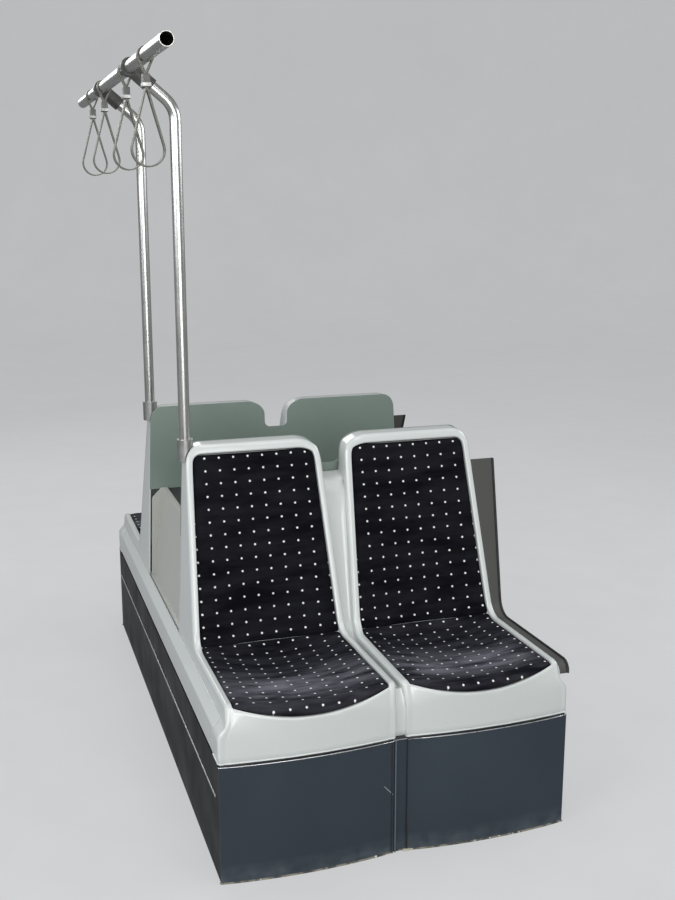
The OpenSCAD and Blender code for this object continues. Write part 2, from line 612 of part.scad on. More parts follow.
// Overhead rail and the clamps that join each pole to it
module overhead_rail() color([0.80, 0.81, 0.82]) translate([-rail_x, 0, rail_z]) rotate([90, 0, 0])
    difference() {
        cylinder(d = rail_d, h = rail_l, center = true, $fn = round_fn);
        cylinder(d = rail_d - 2 * tube_t, h = rail_l + 2, center = true, $fn = round_fn);
    }
clamp_ring_w = 30;
clamp_ring_d = rail_d + 14;
clamp_sleeve_d = pole_d + 9;
clamp_sleeve_l = 53;
module along_rail(d, length) rotate([90, 0, 0]) cylinder(d = d, h = length, center = true, $fn = round_fn);
module down_pole(d, length) rotate([0, 180 - pole_lean, 0]) cylinder(d = d, h = length, $fn = round_fn);
module rail_clamp() translate([-rail_x, pole_y, rail_z]) difference() {
    union() {
        along_rail(clamp_ring_d, clamp_ring_w);
        down_pole(clamp_sleeve_d, rail_d / 2 + clamp_sleeve_l);
    }
    along_rail(rail_d + 2 * pole_fit, 2 * clamp_ring_d);
    down_pole(pole_d + 2 * pole_fit, 2 * clamp_sleeve_l + rail_d);
}
module front_rail_clamp() color([0.24, 0.24, 0.23]) rail_clamp();
module rear_rail_clamp() color([0.24, 0.24, 0.23]) to_rear_pair() rail_clamp();

// Hand straps: a band over the rail whose two legs meet in a buckle, with the hand loop below it
strap_ys = concat([for (y = front_straps) pole_y + y], [for (y = rear_straps) -pole_y + y]);
buckle_below = 25;                        // the buckle's top lies this far under the rail
buckle_top = -(rail_d / 2 + buckle_below);
buckle_foot = buckle_top - buckle_h;
buckle_wrap = 2;                          // the buckle reaches this far past the band's edges
buckle_round = 2.5;                       // radius of its upright edges
grip_r = rail_d / 2 + strap_fit;
loop_z = -loop_drop + loop_r;
arc_steps = 20;
// Angle at which a straight leg from [x, z] meets a circle of radius r round [0, centre]
function leg_turn(r, centre, x, z) = let (up = z > centre ? 1 : -1)
    up * (acos(x / norm([x, z - centre])) - acos(r / norm([x, z - centre])));
function arc(r, centre, from, to) = [for (i = [0:arc_steps]) let (turn = mix(from, to, i / arc_steps))
    [r * cos(turn), centre + r * sin(turn)]];
// Hole between a rounded end and a tip on the strap's middle line
function drop(r, centre, tip) = let (a = leg_turn(r, centre, 0, tip))
    concat([[0, tip]], tip > centre ? arc(r, centre, 180 - a, 360 + a) : arc(r, centre, a, 180 - a));
module strap_band(i) translate([-rail_x, strap_ys[i], rail_z]) rotate([90, 0, 0])
    linear_extrude(strap_w, center = true) difference() {
        over = leg_turn(grip_r + strap_t, 0, strap_t, buckle_top);
        under = leg_turn(loop_r, loop_z, strap_t, buckle_foot);
        polygon(concat(
            arc(grip_r + strap_t, 0, over, 180 - over),
            [[-strap_t, buckle_top], [-strap_t, buckle_foot]],
            arc(loop_r, loop_z, 180 - under, 360 + under),
            [[strap_t, buckle_foot], [strap_t, buckle_top]]
        ));
        polygon(drop(grip_r, 0, buckle_top + strap_t));
        polygon(drop(loop_r - strap_t, loop_z, buckle_foot - strap_t));
    }
module strap_buckle(i) translate([-rail_x, strap_ys[i], rail_z + buckle_foot])
    linear_extrude(buckle_h) difference() {
        offset(r = buckle_round, $fn = 16)
            square([buckle_w, strap_w + 2 * buckle_wrap] - 2 * [buckle_round, buckle_round], center = true);
        square([2 * (strap_t + touch), strap_w + 2 * touch], center = true);
    }
strap_grey = [0.47, 0.47, 0.45];
module strap_1_band() color(strap_grey) strap_band(0);
module strap_2_band() color(strap_grey) strap_band(1);
module strap_3_band() color(strap_grey) strap_band(2);
module strap_4_band() color(strap_grey) strap_band(3);
module strap_1_buckle() color([0.3, 0.3, 0.29]) strap_buckle(0);
module strap_2_buckle() color([0.3, 0.3, 0.29]) strap_buckle(1);
module strap_3_buckle() color([0.3, 0.3, 0.29]) strap_buckle(2);
module strap_4_buckle() color([0.3, 0.3, 0.29]) strap_buckle(3);

floor_frame();
frame_posts();
deck_frame();
deck_plate();
plinth_front_panel();
plinth_rear_panel();
plinth_aisle_panel();
plinth_wall_panel();
plinth_trim();
aisle_skirt();
wall_skirt();
aisle_infill();
wall_infill();
front_shell();
rear_shell();
front_back_cover();
rear_back_cover();
front_aisle_seat_pad();
front_aisle_back_pad();
front_wall_seat_pad();
front_wall_back_pad();
rear_aisle_seat_pad();
rear_aisle_back_pad();
rear_wall_seat_pad();
rear_wall_back_pad();
wall_filler();
wall_seal();
front_pole();
rear_pole();
front_pole_socket();
rear_pole_socket();
overhead_rail();
front_rail_clamp();
rear_rail_clamp();
strap_1_band();
strap_2_band();
strap_3_band();
strap_4_band();
strap_1_buckle();
strap_2_buckle();
strap_3_buckle();
strap_4_buckle();
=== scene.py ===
"""Looks of a back-to-back bus seat unit: moulded bucket seats with dotted pads on a bowed plinth,
shoulder poles, an overhead grab rail and swinging hand straps."""

import json
import math

import bmesh
import bpy
import numpy as np
from mathutils import Matrix, Vector


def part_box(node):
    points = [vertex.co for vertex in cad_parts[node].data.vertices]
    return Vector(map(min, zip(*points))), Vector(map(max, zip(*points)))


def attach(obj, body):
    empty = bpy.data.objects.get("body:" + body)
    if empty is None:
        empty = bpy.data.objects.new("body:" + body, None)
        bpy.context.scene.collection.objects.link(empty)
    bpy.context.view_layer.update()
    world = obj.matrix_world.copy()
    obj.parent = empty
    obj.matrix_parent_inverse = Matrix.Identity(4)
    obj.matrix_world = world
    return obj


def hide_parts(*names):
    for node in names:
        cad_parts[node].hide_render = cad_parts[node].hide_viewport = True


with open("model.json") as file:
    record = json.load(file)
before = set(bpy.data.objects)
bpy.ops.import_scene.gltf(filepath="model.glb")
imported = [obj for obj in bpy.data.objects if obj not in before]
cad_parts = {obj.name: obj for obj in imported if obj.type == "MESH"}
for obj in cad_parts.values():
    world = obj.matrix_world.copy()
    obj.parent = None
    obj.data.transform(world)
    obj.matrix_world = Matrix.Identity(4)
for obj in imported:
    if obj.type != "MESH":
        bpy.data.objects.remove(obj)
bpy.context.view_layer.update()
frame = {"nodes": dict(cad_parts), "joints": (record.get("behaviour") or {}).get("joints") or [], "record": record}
nodes = frame["nodes"]
MM = 0.001
UNIT = "unit"  # the body that stands still
ENDS = ("front", "rear")
SIDES = ("aisle", "wall")
OUTWARDS = {"front": -1, "rear": 1}  # the way that an end's seats face, along the vehicle
ACROSS, ALONG, UP = 0, 1, 2

body_of_node = {
    node: body
    for body, members in frame["record"]["behaviour"]["bodies"].items()
    for node in members
}
slot_of_node = {
    part["node"]: part["material_slot"] for part in frame["record"]["subparts"]
}
swings = {joint["child"]: Vector(joint["pos_m"]) for joint in frame["joints"]}

# Camera: the photograph's own place, turned and tilted so that the whole unit fills the frame

EYE = Vector((-0.935, -3.258, 1.600))
TURN = 18.0  # to the right of the vehicle's length, in degrees
TILT = 12.6  # down from level, in degrees
FOCAL_PX = 1130
FRAME_HEIGHT_PX = 900
SENSOR_MM = 36


def make_camera():
    data = bpy.data.cameras.new("camera")
    data.lens = FOCAL_PX / FRAME_HEIGHT_PX * SENSOR_MM
    data.sensor_width = SENSOR_MM
    camera = bpy.data.objects.new("camera", data)
    camera.location = EYE
    camera.rotation_euler = (math.radians(90 - TILT), 0, math.radians(-TURN))
    bpy.context.scene.collection.objects.link(camera)
    bpy.context.scene.camera = camera


# Materials

KEY_SCRATCH = ((-0.045, 0.188), (-0.018, 0.158), 1.1 * MM)  # from, to and width, on the end panels
DUST_HEIGHT = 0.05


def tone(red, green, blue):
    """A colour given as it shows on a screen, 0 to 255, in the linear values that shaders take."""
    linear = [((c / 255 + 0.055) / 1.055) ** 2.4 if c > 10 else c / 3295 for c in (red, green, blue)]
    return (*linear, 1.0)


def shade(colour, share, lift=0.0):
    """A colour made darker or lighter by a share of itself."""
    return tuple(c * share + lift for c in colour[:3]) + (1,)


def feed(tree, socket, value):
    """Gives a socket another node's output, or a plain value."""
    if isinstance(value, bpy.types.NodeSocket):
        tree.links.new(value, socket)
    else:
        socket.default_value = value


def maths(tree, operation, a, b=0.0, c=0.0):
    node = tree.nodes.new("ShaderNodeMath")
    node.operation = operation
    for socket, value in zip(node.inputs, (a, b, c)):
        feed(tree, socket, value)
    return node.outputs[0]


class Finish:
    """A material whose nodes are added one call at a time. Each call returns the new node's output."""

    def __init__(self, name, **shader_values):
        self.material = bpy.data.materials.new(name)
        self.material.use_nodes = True
        self.tree = self.material.node_tree
        self.shader = self.tree.nodes["Principled BSDF"]
        for socket, value in shader_values.items():
            self.shader.inputs[socket.replace("_", " ")].default_value = value
        self.place = self.tree.nodes.new("ShaderNodeTexCoord").outputs["Object"]

    def feed(self, socket, value):
        feed(self.tree, socket, value)

    def to_shader(self, socket, value):
        self.feed(self.shader.inputs[socket], value)

    def stretched(self, scale):
        """The object's own places times scale: a pattern is squeezed where that is large."""
        node = self.tree.nodes.new("ShaderNodeMapping")
        node.inputs["Scale"].default_value = scale
        self.feed(node.inputs["Vector"], self.place)
        return node.outputs["Vector"]

    def noise(self, scale, detail=3.0, roughness=0.5, place=None):
        node = self.tree.nodes.new("ShaderNodeTexNoise")
        node.inputs["Scale"].default_value = scale
        node.inputs["Detail"].default_value = detail
        node.inputs["Roughness"].default_value = roughness
        self.feed(node.inputs["Vector"], place or self.place)
        return node.outputs["Fac"]

    def specks(self, scale):
        """Distance from the nearest of many scattered specks."""
        node = self.tree.nodes.new("ShaderNodeTexVoronoi")
        node.inputs["Scale"].default_value = scale
        self.feed(node.inputs["Vector"], self.place)
        return node.outputs["Distance"]

    def attribute(self, name):
        node = self.tree.nodes.new("ShaderNodeAttribute")
        node.attribute_name = name
        return node.outputs["Fac"]

    def axis(self, index, place=None):
        node = self.tree.nodes.new("ShaderNodeSeparateXYZ")
        self.feed(node.inputs[0], place or self.place)
        return node.outputs[index]

    def maths(self, operation, a, b=0.0, c=0.0):
        return maths(self.tree, operation, a, b, c)

    def between(self, value, low, high, to_low=0.0, to_high=1.0):
        """value from low..high drawn out to to_low..to_high and held there."""
        node = self.tree.nodes.new("ShaderNodeMapRange")
        span = {"From Min": low, "From Max": high, "To Min": to_low, "To Max": to_high}
        for name, number in span.items():
            node.inputs[name].default_value = number
        self.feed(node.inputs["Value"], value)
        return node.outputs["Result"]

    def mix(self, share, a, b):
        node = self.tree.nodes.new("ShaderNodeMix")
        node.data_type = "RGBA"
        for index, value in ((0, share), (6, a), (7, b)):
            self.feed(node.inputs[index], value)
        return node.outputs[2]

    def crevice(self, distance):
        """1 in corners and creases, 0 in the open."""
        node = self.tree.nodes.new("ShaderNodeAmbientOcclusion")
        node.inputs["Distance"].default_value = distance
        return self.maths("SUBTRACT", 1.0, node.outputs["AO"])

    def line_mark(self, start, end, width):
        """1 on a straight scratch between two places, each its distance to the right and up."""
        right, up = end[0] - start[0], end[1] - start[1]
        length = math.hypot(right, up)
        x = self.maths("SUBTRACT", self.axis(ACROSS), start[0])
        z = self.maths("SUBTRACT", self.axis(UP), start[1])
        past = self.maths("MULTIPLY_ADD", x, right / length, self.maths("MULTIPLY", z, up / length))
        aside = self.maths("MULTIPLY_ADD", x, up / length, self.maths("MULTIPLY", z, -right / length))
        off_line = self.between(self.maths("ABSOLUTE", aside), width / 2, width, 1.0, 0.0)
        off_middle = self.maths("ABSOLUTE", self.maths("SUBTRACT", past, length / 2))
        tapered = self.between(off_middle, 0.4 * length, 0.5 * length, 1.0, 0.0)
        return self.maths("MULTIPLY", off_line, tapered)

    def bump(self, height, strength, distance=MM):
        node = self.tree.nodes.new("ShaderNodeBump")
        node.inputs["Strength"].default_value = strength
        node.inputs["Distance"].default_value = distance
        self.feed(node.inputs["Height"], height)
        self.to_shader("Normal", node.outputs["Normal"])


def moulded_glass_fibre(name, clean, dust_and_shade, gloss):
    """Pigmented gel coat: slow changes of tone, dust specks, painted shade that darkens the corners and creases, a
    faint orange peel.
    """
    finish = Finish(name, Coat_Weight=0.5, Coat_Roughness=0.1)
    cloudy = finish.noise(2.5, 2)
    worn = finish.mix(finish.between(cloudy, 0.3, 0.75), clean, shade(clean, 0.97))
    dust = finish.between(finish.noise(900, 2), 0.62, 0.75, 0.0, 0.25)
    dusty = finish.mix(dust, worn, dust_and_shade)
    # painted shade: ambient occlusion darkens corners and creases towards the dust-and-shade colour
    corners = finish.between(finish.crevice(0.02), 0.45, 0.95, 0.0, 0.5)
    finish.to_shader("Base Color", finish.mix(corners, dusty, dust_and_shade))
    finish.to_shader("Roughness", finish.between(finish.noise(12, 5), 0.2, 0.8, gloss, gloss + 0.03))
    finish.bump(finish.noise(260, 2), 0.05)
    return finish.material


def dark_laminate(name, base, scuffed, gloss, shine):
    """Plinth laminate: long faint scratches, dull kick marks and dust along the floor."""
    finish = Finish(name, Specular_IOR_Level=shine)
    cloudy = finish.between(finish.noise(3.2, 5), 0.35, 0.7)
    sheet = finish.mix(cloudy, base, shade(base, 1.25))
    scratches = finish.between(finish.noise(9, 6, 0.7, finish.stretched((4, 4, 90))), 0.66, 0.74)
    chips = finish.between(finish.specks(26), 0.0, 0.045, 1.0, 0.0)
    sparse = finish.between(finish.noise(4.5, 1), 0.52, 0.6)
    marks = finish.maths("MULTIPLY", finish.maths("MAXIMUM", scratches, chips), sparse)
    marked = finish.mix(finish.maths("MULTIPLY", marks, 0.55), sheet, scuffed)
    marked = finish.mix(finish.line_mark(*KEY_SCRATCH), marked, tone(150, 158, 164))
    near_floor = finish.between(finish.axis(UP), 0.0, DUST_HEIGHT, 0.55, 0.0)
    dust = finish.maths("MULTIPLY", near_floor, finish.between(finish.noise(30, 4), 0.3, 0.7))
    finish.to_shader("Base Color", finish.mix(dust, marked, scuffed))
    rough = finish.between(finish.noise(8, 4), 0.3, 0.7, gloss, gloss + 0.14)
    finish.to_shader("Roughness", finish.maths("ADD", rough, finish.maths("MULTIPLY", marks, 0.25)))
    finish.bump(finish.maths("SUBTRACT", finish.noise(420, 2), marks), 0.08)
    return finish.material


def satin_panel(name, base):
    """Painted sheet: an even colour with slow clouds, fine grain and painted shade in its corners."""
    finish = Finish(name)
    clouds = finish.between(finish.noise(4, 4), 0.3, 0.7)
    panel = finish.mix(clouds, base, shade(base, 0.86))
    # painted shade: ambient occlusion darkens corners towards half the base colour
    corners = finish.between(finish.crevice(0.04), 0.3, 0.9, 0.0, 0.5)
    finish.to_shader("Base Color", finish.mix(corners, panel, shade(base, 0.5)))
    finish.to_shader("Roughness", finish.between(finish.noise(20, 4), 0.3, 0.7, 0.38, 0.52))
    finish.bump(finish.noise(700, 2), 0.06)
    return finish.material


def brushed_tube(name, along, tint, gloss):
    """Stainless tube, brushed along its length, with hand-worn patches."""
    finish = Finish(name, Metallic=1.0)
    scale = [900.0, 900.0, 900.0]
    scale[along] = 12.0
    streaks = finish.noise(1.0, 3, 0.6, finish.stretched(scale))
    handled = finish.between(finish.noise(7, 4), 0.35, 0.7)
    finish.to_shader("Base Color", finish.mix(finish.between(streaks, 0.3, 0.7), shade(tint, 0.84), tint))
    smooth = finish.between(handled, 0, 1, gloss, gloss + 0.08)
    brushed = finish.between(streaks, 0.3, 0.7, 0.0, 0.07)
    finish.to_shader("Roughness", finish.maths("ADD", brushed, smooth))
    finish.bump(streaks, 0.04)
    return finish.material


def powder_coat(name, base, worn):
    """Cast or pressed metal with a fine-grained coat, rubbed lighter in patches."""
    finish = Finish(name)
    rubbed = finish.between(finish.noise(60, 4), 0.5, 0.72, 0.0, 0.5)
    finish.to_shader("Base Color", finish.mix(rubbed, base, worn))
    finish.to_shader("Roughness", finish.between(finish.noise(40, 3), 0.3, 0.7, 0.36, 0.55))
    finish.bump(finish.noise(1600, 2), 0.2, 0.4 * MM)
    return finish.material


def plain_metal(name, tint, gloss):
    """Bare metal, stained in patches."""
    finish = Finish(name, Metallic=1.0)
    stain = finish.between(finish.noise(35, 4), 0.35, 0.7)
    finish.to_shader("Base Color", finish.mix(stain, tint, shade(tint, 0.75)))
    finish.to_shader("Roughness", finish.between(finish.noise(90, 3), 0.3, 0.7, gloss, gloss + 0.15))
    finish.bump(finish.noise(500, 2), 0.05)
    return finish.material


def soft_rubber(name, base):
    """Matt rubber with pale dust on it."""
    finish = Finish(name)
    dusty = finish.between(finish.noise(50, 4), 0.45, 0.75, 0.0, 0.35)
    finish.to_shader("Base Color", finish.mix(dusty, base, shade(base, 2.5, 0.01)))
    finish.to_shader("Roughness", finish.between(finish.noise(30, 3), 0.3, 0.7, 0.55, 0.75))
    finish.bump(finish.noise(800, 2), 0.1)
    return finish.material


DOT_PITCH_ACROSS = 40.2 * MM
DOT_PITCH_ALONG = 34.4 * MM
DOT_R = 2.8 * MM
DOT_EDGE = 0.6 * MM  # a dot's colour fades out over this, to each side of its edge
DOT_FRAY = 0.7 * MM
THREADS = 130.0


def dotted_fabric():
    """Dense dark moquette with a lattice of small pale dots, placed by the piece's weave map in metres."""
    finish = Finish("pad_fabric", Sheen_Weight=0.02, Sheen_Roughness=0.4, Specular_IOR_Level=0.03)
    finish.shader.inputs["Sheen Tint"].default_value = tone(190, 195, 220)
    uv_node = finish.tree.nodes.new("ShaderNodeUVMap")
    uv_node.uv_map = "weave"
    uv = uv_node.outputs["UV"]
    frayed = finish.between(finish.noise(700, 2, 0.5, uv), 0.2, 0.8, -DOT_FRAY, DOT_FRAY)

    def from_centre(distance, pitch):
        cell = finish.maths("FRACT", finish.maths("DIVIDE", distance, pitch))
        return finish.maths("MULTIPLY", finish.maths("SUBTRACT", cell, 0.5), pitch)

    across = from_centre(finish.axis(0, uv), DOT_PITCH_ACROSS)
    along = from_centre(finish.axis(1, uv), DOT_PITCH_ALONG)
    squares = finish.maths("MULTIPLY_ADD", across, across, finish.maths("MULTIPLY", along, along))
    radius = finish.maths("ADD", finish.maths("SQRT", squares), frayed)
    dots = finish.between(radius, DOT_R - DOT_EDGE, DOT_R + DOT_EDGE, 1.0, 0.0)

    warp = finish.tree.nodes.new("ShaderNodeTexWave")
    warp.bands_direction = "X"
    weft = finish.tree.nodes.new("ShaderNodeTexWave")
    weft.bands_direction = "Y"
    for wave in (warp, weft):
        wave.inputs["Scale"].default_value = THREADS
        wave.inputs["Distortion"].default_value = 1.2
        wave.inputs["Detail Scale"].default_value = 2.0
        finish.feed(wave.inputs["Vector"], uv)
    threads = finish.maths("MULTIPLY", warp.outputs["Fac"], weft.outputs["Fac"])

    tufts = finish.between(finish.noise(1100, 2, 0.6, uv), 0.3, 0.75)
    pile = finish.mix(tufts, tone(4, 4, 8), tone(16, 16, 22))
    # real wear and painted sheen together: the pile is lightened where the seat's middle faces the light
    wear_and_sheen = finish.attribute("wear_and_sheen")
    worn = finish.mix(finish.between(wear_and_sheen, 0.0, 1.0, 0.0, 0.35), pile, tone(66, 65, 74))
    # painted highlight: pale streaks across the seat's lit, worn middle
    streaks = finish.between(finish.noise(4, 5, 0.6, finish.stretched((1.5, 7, 7))), 0.36, 0.62, 0.0, 0.8)
    sat_on = finish.mix(finish.maths("MULTIPLY", streaks, wear_and_sheen), worn, tone(122, 122, 131))
    faded = finish.between(finish.noise(500, 2, 0.5, uv), 0.3, 0.8)
    dot_colour = finish.mix(faded, tone(244, 244, 240), tone(196, 196, 194))
    finish.to_shader("Base Color", finish.mix(dots, sat_on, dot_colour))
    finish.to_shader("Roughness", finish.between(threads, 0.0, 1.0, 0.95, 0.8))
    finish.bump(finish.maths("ADD", threads, finish.maths("MULTIPLY", dots, 0.8)), 0.5, 0.5 * MM)
    return finish.material


BAND_RIBS = 34.0  # turns of the ribs' wave, in radians, from the middle of a strap's band to its side


def strap_vinyl():
    """Ribbed grey vinyl band with a pale line along each corner. Its sides face along the rail."""
    finish = Finish("strap_vinyl")
    facing = finish.tree.nodes.new("ShaderNodeNewGeometry").outputs["Normal"]
    sideways = finish.maths("ABSOLUTE", finish.axis(ALONG, facing))
    off_face = finish.between(sideways, 0.3, 0.5)
    off_side = finish.between(sideways, 0.86, 0.96, 1.0, 0.0)
    corner = finish.maths("MULTIPLY", off_face, off_side)
    ribs = finish.maths("SINE", finish.maths("MULTIPLY", finish.attribute("across"), BAND_RIBS))
    clouds = finish.between(finish.noise(40, 4), 0.3, 0.7)
    band = finish.mix(clouds, tone(104, 103, 96), tone(84, 83, 77))
    finish.to_shader("Base Color", finish.mix(corner, band, tone(176, 172, 158)))
    finish.to_shader("Roughness", finish.between(finish.noise(60, 3), 0.3, 0.7, 0.42, 0.6))
    finish.bump(finish.maths("ADD", ribs, finish.noise(900, 2)), 0.15, 0.4 * MM)
    return finish.material


MATERIALS = {
    "shell_grey": moulded_glass_fibre("shell_grey", tone(204, 208, 206), tone(120, 121, 114), 0.24),
    # the infill is the shell's gel coat in darker tones: painted shade on the recessed panels between the shells
    "infill_grey": moulded_glass_fibre("infill_grey", tone(178, 179, 172), tone(112, 111, 103), 0.32),
    "filler_grey": moulded_glass_fibre("filler_grey", tone(66, 66, 63), tone(48, 48, 46), 0.42),
    "plinth_blue": dark_laminate("plinth_blue", tone(46, 54, 62), tone(100, 108, 114), 0.32, 0.3),
    # the side panels take a darker copy of the front's blue laminate: painted shade for the sides that face away
    # from the light
    "plinth_side": dark_laminate("plinth_side", tone(18, 22, 24), tone(70, 74, 76), 0.36, 0.1),
    # the back covers take a darker green-grey than the shell's light grey: painted shade of the same grey on the
    # backs
    "cover_grey": satin_panel("cover_grey", tone(122, 136, 128)),
    "deck_dark": satin_panel("deck_dark", tone(52, 53, 55)),
    "frame_steel": powder_coat("frame_steel", tone(104, 107, 110), tone(140, 141, 140)),
    "trim_metal": plain_metal("trim_metal", tone(222, 223, 224), 0.24),
    "socket_metal": plain_metal("socket_metal", tone(168, 168, 166), 0.32),
    "clamp_grey": powder_coat("clamp_grey", tone(58, 58, 56), tone(98, 98, 94)),
    "buckle_plastic": powder_coat("buckle_plastic", tone(92, 92, 89), tone(126, 126, 120)),
    "seal_rubber": soft_rubber("seal_rubber", tone(26, 26, 28)),
    "pad_fabric": dotted_fabric(),
    "strap_vinyl": strap_vinyl(),
}


def old_sealant():
    """Yellowed sealant with pale crumbs and floor dirt."""
    finish = Finish("floor_sealant")
    crumbs = finish.between(finish.specks(60), 0.0, 0.22, 1.0, 0.0)
    dirt = finish.between(finish.noise(45, 4), 0.42, 0.6)
    base = finish.mix(dirt, tone(126, 122, 110), tone(62, 61, 58))
    finish.to_shader("Base Color", finish.mix(crumbs, base, tone(214, 208, 190)))
    finish.to_shader("Roughness", finish.between(finish.noise(50, 3), 0.3, 0.7, 0.6, 0.85))
    finish.bump(finish.maths("ADD", crumbs, finish.noise(240, 4)), 0.6)
    return finish.material


SEALANT = old_sealant()
CRUMBS = soft_rubber("sealant_crumbs", tone(176, 172, 158))
JOINT_STRIP = satin_panel("joint_strip", tone(92, 106, 117))
STAINLESS = tone(196, 196, 193)
POLE_STEEL = brushed_tube("stainless_pole", UP, STAINLESS, 0.2)
RAIL_STEEL = brushed_tube("stainless_rail", ALONG, STAINLESS, 0.2)

# Ways of making a piece

MERGE_WITHIN = 0.02 * MM
FLAT_WITHIN = math.radians(0.4)  # faces that fold less than this are one face
QUAD_FOLD = math.radians(50)  # the most that two triangles fold and still make a quad
QUAD_SKEW = math.radians(75)


def merged(node):
    """A CAD node's mesh with its loose triangles joined up."""
    bm = bmesh.new()
    bm.from_mesh(nodes[node].data)
    bmesh.ops.remove_doubles(bm, verts=bm.verts, dist=MERGE_WITHIN)
    return bm


def with_whole_faces(node):
    """A CAD node's mesh with each flat face in one piece."""
    bm = merged(node)
    bmesh.ops.dissolve_limit(bm, angle_limit=FLAT_WITHIN, verts=bm.verts, edges=bm.edges)
    return bm


def in_quads(node):
    """A CAD node's mesh with its triangles paired into quads."""
    bm = merged(node)
    bmesh.ops.join_triangles(
        bm, faces=bm.faces, angle_face_threshold=QUAD_FOLD, angle_shape_threshold=QUAD_SKEW
    )
    return bm


def smooth_mesh(name, bm, material):
    """A finished bmesh as a smooth-shaded object in the scene."""
    mesh = bpy.data.meshes.new(name)
    bm.to_mesh(mesh)
    bm.free()
    mesh.polygons.foreach_set("use_smooth", [True] * len(mesh.polygons))
    mesh.materials.append(material)
    obj = bpy.data.objects.new(name, mesh)
    bpy.context.scene.collection.objects.link(obj)
    return obj


def piece(name, bm, slot, body=UNIT, material=None):
    """A finished bmesh as a piece that rides on a body."""
    obj = smooth_mesh(name, bm, material or MATERIALS[slot])
    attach(obj, body)
    return obj


def round_edges(obj, width, segments=2, angle=28):
    """Rounds the edges that fold more than an angle in degrees, and keeps flat faces flat in the light."""
    bevel = obj.modifiers.new("edges", "BEVEL")
    bevel.width = width
    bevel.segments = segments
    bevel.limit_method = "ANGLE"
    bevel.angle_limit = math.radians(angle)
    normals = obj.modifiers.new("normals", "WEIGHTED_NORMAL")
    normals.keep_sharp = True


def rounded(node, name, width, segments=2, material=None):
    """A rigid CAD node again, flat faces whole and edges rounded, in place of the node."""
    obj = piece(name, with_whole_faces(node), slot_of_node[node], body_of_node[node], material)
    round_edges(obj, width, segments)
    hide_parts(node)


def subdivide(obj, levels):
    modifier = obj.modifiers.new("smooth", "SUBSURF")
    modifier.levels = levels
    modifier.render_levels = levels


def coordinates(mesh):
    flat = np.zeros(len(mesh.vertices) * 3, np.float32)
    mesh.vertices.foreach_get("co", flat)
    return flat.reshape(-1, 3).astype(float)


def move_points(mesh, points):
    mesh.vertices.foreach_set("co", points.astype(np.float32).ravel())
    mesh.update()


def set_attribute(mesh, name, values):
    """A number at each point of a mesh, for its material to read."""
    attribute = mesh.attributes.new(name, "FLOAT", "POINT")
    attribute.data.foreach_set("value", values.astype(np.float32))


# Beads along a piece's edge

LIP_HEIGHT = 0.310
PANEL_TOP = 0.302
LEVEL_WITHIN = 0.2 * MM
FACES_UP = 0.9  # a normal's upward share from which a face counts as level
FACES_OUT = 0.5  # and up to which it counts as upright


def outer_edges(node, height):
    """Chains of points along a node's outer edge at a height."""
    bm = merged(node)
    level = [
        e
        for e in bm.edges
        if all(abs(v.co.z - height) < LEVEL_WITHIN for v in e.verts)
        and any(abs(f.normal.z) > FACES_UP for f in e.link_faces)
        and any(
            abs(f.normal.z) < FACES_OUT and f.normal.dot(f.calc_center_median()) > 0 for f in e.link_faces
        )
    ]
    links = {}
    for edge in level:
        a, b = (tuple(round(c, 5) for c in v.co) for v in edge.verts)
        links.setdefault(a, set()).add(b)
        links.setdefault(b, set()).add(a)
    bm.free()
    chains = []
    while links:
        point = next((p for p in links if len(links[p]) == 1), next(iter(links)))
        chain = [point]
        while links.get(point):
            ahead = links[point].pop()
            links[ahead].discard(point)
            chain.append(ahead)
            point = ahead
        links = {p: ends for p, ends in links.items() if ends}
        chains.append(chain)
    return chains


def bead(name, chains, radius, slot, material=None):
    """A round bead along each chain of points."""
    curve = bpy.data.curves.new(name, "CURVE")
    curve.dimensions = "3D"
    curve.bevel_depth = radius
    curve.bevel_resolution = 3
    curve.use_fill_caps = True
    for chain in chains:
        spline = curve.splines.new("POLY")
        spline.points.add(len(chain) - 1)
        for point, place in zip(spline.points, chain):
            point.co = (*place, 1)
    drawn = bpy.data.objects.new(name + "_line", curve)
    mesh = bpy.data.meshes.new_from_object(drawn)
    bpy.data.objects.remove(drawn)
    bm = bmesh.new()
    bm.from_mesh(mesh)
    bpy.data.meshes.remove(mesh)
    piece(name, bm, slot, material=material)


# Seat mouldings

STRIP_HALF = 14.5 * MM  # half the width of the flat strip between the two fronts
STRIP_TOP = 0.40
STRIP_FORWARD = 5 * MM
CREASE_FOLD = math.radians(30)
CREASE = 0.55
LIP_R = 2 * MM


def crease_folds(bm):
    """Keeps a moulding's sharper folds from going soft when it is subdivided."""
    layer = bm.edges.layers.float.new("crease_edge")
    for edge in bm.edges:
        if len(edge.link_faces) == 2 and edge.calc_face_angle() > CREASE_FOLD:
            edge[layer] = CREASE


def dress_shell(end):
    node = f"{end}_shell"
    bm = in_quads(node)
    strip = [v for v in bm.verts if abs(v.co.x) < STRIP_HALF and v.co.z < STRIP_TOP]
    bmesh.ops.translate(bm, vec=(0, OUTWARDS[end] * STRIP_FORWARD, 0), verts=strip)
    crease_folds(bm)
    obj = piece(node + "_moulding", bm, "shell_grey")
    subdivide(obj, 2)
    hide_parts(node)
    bead(node + "_lip", outer_edges(node, LIP_HEIGHT), LIP_R, "shell_grey")


# Pads: each is cut from the moulding's recess, blown up by cloth pressure, and given its weave map

